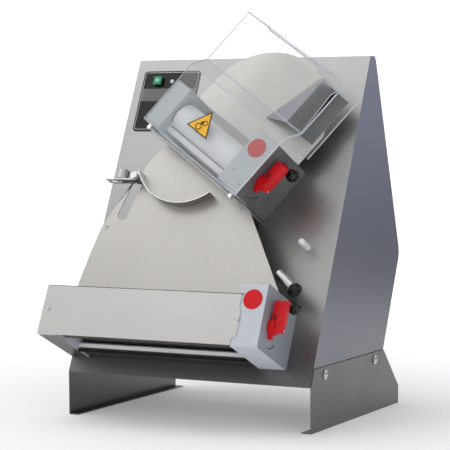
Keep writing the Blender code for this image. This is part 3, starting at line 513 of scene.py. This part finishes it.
def guard_side():
    """The clear sheet that closes the guard's right end."""
    outline = [(0.130, 0.1428), (0.1408, 0.1428), (0.1706, 0.1148), (0.2760, 0.1148), (0.2960, 0.0900),
               (0.2960, 0.0400), (0.1470, 0.0400)]
    body = bmesh.new()
    body.faces.new([body.verts.new((GUARD_RIGHT, up, out)) for up, out in outline])
    thicken(make("guard_side", body, UPPER, clear_sheet, "guard"))


sheet = guard_sheet()
guard_side()
CURL_INSIDE, CURL_OUTSIDE, CURL_LENGTH = 0.0034, 0.0056, 0.240
lathe("guard_curl", [(CURL_INSIDE, 0.0), (CURL_OUTSIDE, 0.0), (CURL_OUTSIDE, CURL_LENGTH),
                     (CURL_INSIDE, CURL_LENGTH), (CURL_INSIDE, 0.0)],
      facing_x(UPPER, 0.016, -0.008, 0.118), clear_sheet, "guard", 20)
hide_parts("clear_guard")

# Lit lines where the clear sheet is folded, and along its right edge
FOLD_LINE = 0.0007
for name, up, out, left, right in (("top_fold", GUARD_TOP - 0.0012, 0.1168, 0.045, 0.262),
                                   ("upper_fold", 0.1708, 0.1172, 0.001, 0.288),
                                   ("lower_fold", 0.1424, 0.1446, 0.001, 0.288)):
    profile = [(0.0, 0.0), (FOLD_LINE, 0.0), (FOLD_LINE, right - left), (0.0, right - left)]
    lathe("guard_" + name, profile, facing_x(UPPER, left, up, out), rim_highlight, "guard", 12)
slab("guard_right_edge", [(GUARD_RIGHT - 0.0016, 0.0), (GUARD_RIGHT, 0.0), (GUARD_RIGHT, 0.140),
                          (GUARD_RIGHT - 0.0016, 0.140)], 0.1432, 0.1458, UPPER, edge_glow, "guard")

# Yellow sign with a dark border, and two rings and an arrow on it
SIGN_OUT = 0.1465
sign = [(0.1200, 0.0940), (0.0910, 0.0430), (0.1520, 0.0440)]
centre = Vector((sum(x for x, _ in sign) / 3, sum(y for _, y in sign) / 3))
inset = [tuple(centre + (Vector(point) - centre) * 0.86) for point in sign]
slab("sign_border", sign, 0.1460, 0.1463, UPPER, black, "guard")
slab("sign_face", inset, 0.1463, SIGN_OUT, UPPER, yellow, "guard")
for number, (dx, dy, radius) in enumerate(((-0.004, -0.006, 0.0075), (0.0045, 0.007, 0.0055))):
    profile = [(radius, 0.0), (radius, 0.0002), (radius * 0.72, 0.0002), (radius * 0.72, 0.0)]
    spot = at(UPPER, centre.x + dx, centre.y + dy, SIGN_OUT)
    lathe("sign_roller_%d" % number, profile, spot, black, "guard", 24)
slab("sign_arrow", [(centre.x - 0.007, centre.y + 0.003), (centre.x + 0.001, centre.y + 0.0005),
                    (centre.x - 0.001, centre.y + 0.010)], SIGN_OUT, SIGN_OUT + 0.0002, UPPER, black, "guard")


# ---------------------------------------------------------------- small fittings

def screw(name, matrix, radius, ride="machine"):
    """Domed screw head with a hexagonal socket, its inside drawn as painted shade."""
    rim = radius * 0.45
    profile = [(0.0, rim * 0.35), (radius * 0.42, rim * 0.35), (radius * 0.45, rim),
               (radius * 0.75, rim * 0.82), (radius * 0.95, rim * 0.4), (radius, 0.0), (0.0, 0.0)]
    lathe(name, profile, matrix, turned_steel, ride, 24)
    slab(name + "_socket_shade", ring(radius * 0.44, 6), rim * 0.36, rim * 0.40, matrix, black, ride)


for name, matrix, place, radius in (
        ("upper_left_screw", UPPER, (0.0104, 0.0525, HEAD_DEPTH), 0.0042),
        ("upper_right_screw_a", UPPER, (0.2427, 0.035, HEAD_DEPTH), 0.0035),
        ("upper_right_screw_b", UPPER, (0.276, 0.0178, HEAD_DEPTH), 0.0026),
        ("plate_screw_left", PANEL, (-0.208, 0.285, 0.0745), 0.0045),
        ("plate_screw_right", PANEL, (0.086, 0.329, 0.0745), 0.0045)):
    screw(name, at(matrix, *place), radius)

# Dark seam along the lower cover's top edge
cover = nodes["lower_front_cover"]
corners = [LOWER.inverted() @ cover.matrix_world @ vertex.co for vertex in cover.data.vertices]
left, right = min(c.x for c in corners) + 0.0005, max(c.x for c in corners) - 0.001
top, front = max(c.y for c in corners), max(c.z for c in corners)
slab("lower_cover_seam", [(left, top - 0.0002), (right, top - 0.0002), (right, top + 0.0009),
                          (left, top + 0.0009)], front - 0.0015, front + 0.0001, LOWER, shade_and_seam_steel)

# Scale dots round each lever, larger for a thicker sheet of dough
DOT_CIRCLE = 0.040
for name, matrix in HEADS.items():
    for number in range(7):
        angle = math.radians(180.0 + 8.0 * number)
        up = LEVER_UP + DOT_CIRCLE * math.cos(angle)
        out = LEVER_OUT + DOT_CIRCLE * math.sin(angle)
        size = 0.0012 + 0.0002 * number
        lathe("%s_dot_%d" % (name, number), [(0.0, 0.0002), (size, 0.0002), (size, 0.0), (0.0, 0.0)],
              facing_x(matrix, LENGTHS[name], up, out), dot_ink, "machine", 12)

# Grip recess drawn as painted shade, end screw and knob ring of each lever
for name, matrix in HEADS.items():
    length = LENGTHS[name]
    ride = name + "_lever_arm"
    recess = rounded((length + 0.0085, 0.050), (length + 0.0150, 0.074), 0.0015)
    slab(name + "_grip_recess_shade", recess, 0.1150, 0.1152, matrix, red_shade, ride)
    screw(name + "_lever_screw", facing_x(matrix, length + 0.0330, 0.0445, 0.1095), 0.0026, ride)
    profile = [(0.0070, 0.0104), (0.0076, 0.0116), (0.0084, 0.0114), (0.0098, 0.0080)]
    lathe(name + "_knob_ring", profile, facing_x(matrix, length + 0.030, 0.100, 0.080), gloss_ring,
          name + "_knob")

# Print on the control plate and the start button: two corners, corner radius, height of its back
PRINT = 0.0001
for name, low, high, radius, height, look, ride in (
        ("control_border", (-0.2425, 0.535), (-0.1155, 0.667), 0.004, 0.0022, label_silver, "machine"),
        ("control_face", (-0.2417, 0.5358), (-0.1163, 0.6662), 0.0035, 0.0023, label_black, "machine"),
        ("control_band", (-0.2417, 0.600), (-0.1163, 0.629), 0.0005, 0.0024, label_grey, "machine"),
        ("start_mark", (-0.2120, 0.6440), (-0.2020, 0.6470), 0.0010, 0.0105, mint, "start_push"),
        ("start_mark_up", (-0.2085, 0.6405), (-0.2055, 0.6505), 0.0010, 0.0106, mint, "start_push")):
    slab(name, rounded(low, high, radius), height, height + PRINT, PANEL, look, ride)


# ---------------------------------------------------------------- stage

LIGHTS_AIM = Vector((0.0, 0.0, 0.4))


def area_light(name, place, size, power):
    """A square light that faces the machine."""
    light = bpy.data.lights.new(name, "AREA")
    light.shape = "RECTANGLE"
    light.size = light.size_y = size
    light.energy = power
    obj = bpy.data.objects.new(name, light)
    bpy.context.scene.collection.objects.link(obj)
    obj.location = place
    obj.rotation_euler = (LIGHTS_AIM - Vector(place)).to_track_quat("-Z", "Y").to_euler()


SEEN_STRENGTH = 1.3
LIT_STRENGTH = 0.78
DARK_SIDE = Vector((0.72, 0.62, -0.30)).normalized()


def studio():
    """Surroundings that the camera sees as white, and that light the machine whiter from the front left."""
    world = bpy.data.worlds.new("studio")
    bpy.context.scene.world = world
    world.use_nodes = True
    tree = world.node_tree
    tree.nodes.clear()
    output = tree.nodes.new("ShaderNodeOutputWorld")
    seen = tree.nodes.new("ShaderNodeBackground")
    seen.inputs["Color"].default_value = (1.0, 1.0, 1.0, 1.0)
    seen.inputs["Strength"].default_value = SEEN_STRENGTH
    lit = tree.nodes.new("ShaderNodeBackground")
    lit.inputs["Strength"].default_value = LIT_STRENGTH
    source = tree.nodes.new("ShaderNodeTexCoord")
    dot = tree.nodes.new("ShaderNodeVectorMath")
    dot.operation = "DOT_PRODUCT"
    dot.inputs[1].default_value = DARK_SIDE
    ramp = tree.nodes.new("ShaderNodeValToRGB")
    for element, position, colour in zip(ramp.color_ramp.elements, (0.30, 0.95),
                                         ((0.95, 0.94, 0.92, 1.0), (0.24, 0.25, 0.30, 1.0))):
        element.position = position
        element.color = colour
    half = tree.nodes.new("ShaderNodeMath")
    half.operation = "MULTIPLY_ADD"
    half.inputs[1].default_value = 0.5
    half.inputs[2].default_value = 0.5
    mix = tree.nodes.new("ShaderNodeMixShader")
    path = tree.nodes.new("ShaderNodeLightPath")
    tree.links.new(source.outputs["Generated"], dot.inputs[0])
    tree.links.new(dot.outputs["Value"], half.inputs[0])
    tree.links.new(half.outputs["Value"], ramp.inputs["Fac"])
    tree.links.new(ramp.outputs["Color"], lit.inputs["Color"])
    tree.links.new(path.outputs["Is Camera Ray"], mix.inputs["Fac"])
    tree.links.new(lit.outputs["Background"], mix.inputs[1])
    tree.links.new(seen.outputs["Background"], mix.inputs[2])
    tree.links.new(mix.outputs["Shader"], output.inputs["Surface"])


FLOOR_RADIUS = 2.4
PALE_WITHIN = 0.30
WHITE_BEYOND = 1.30


def floor_paint():
    """Pale floor that brightens to plain white away from the machine."""
    m = Nodes("floor_paint")
    m.set(Roughness=0.7, Specular_IOR_Level=0.1, Emission_Color=(1.0, 1.0, 1.0, 1.0))
    length = m.add("ShaderNodeVectorMath", operation="LENGTH")
    m.link(m.place(), length.inputs[0])
    for low, high, target in ((0.22, 0.95, "Emission Strength"), (0.92, 0.10, "Base Color")):
        faded = m.span(length.outputs["Value"], PALE_WITHIN, WHITE_BEYOND, low, high)
        m.link(faded, m.shader.inputs[target])
    return m.material


def floor():
    """Round floor just under the feet."""
    body = bmesh.new()
    bmesh.ops.create_circle(body, cap_ends=True, segments=64, radius=FLOOR_RADIUS)
    mesh = bpy.data.meshes.new("floor")
    body.to_mesh(mesh)
    body.free()
    obj = bpy.data.objects.new("floor", mesh)
    bpy.context.scene.collection.objects.link(obj)
    obj.location = (0.0, 0.0, cad_box[0].z - 0.0005)
    dress(obj, floor_paint())


studio()
floor()
area_light("key", (-1.5, -1.0, 3.4), 2.4, 26.0)
area_light("fill", (2.6, -2.2, 1.2), 1.6, 8.0)

bpy.context.scene.view_settings.view_transform = "Standard"

# The photo's view, from the camera fitted to it: angles in radians
CAMERA_RIGHT, CAMERA_BACK, CAMERA_UP = 1.6202, 3.0160, 0.5673
CAMERA_DOWN, CAMERA_TURN = 0.0523, 0.4706
camera_data = bpy.data.cameras.new("camera")
camera_data.sensor_width = 36.0
camera_data.lens = 141.6
camera = bpy.data.objects.new("camera", camera_data)
bpy.context.scene.collection.objects.link(camera)
camera.location = (CAMERA_RIGHT, shell_low.y - CAMERA_BACK, CAMERA_UP)
camera.rotation_euler = (math.pi / 2 - CAMERA_DOWN, 0.0, CAMERA_TURN)
bpy.context.scene.camera = camera
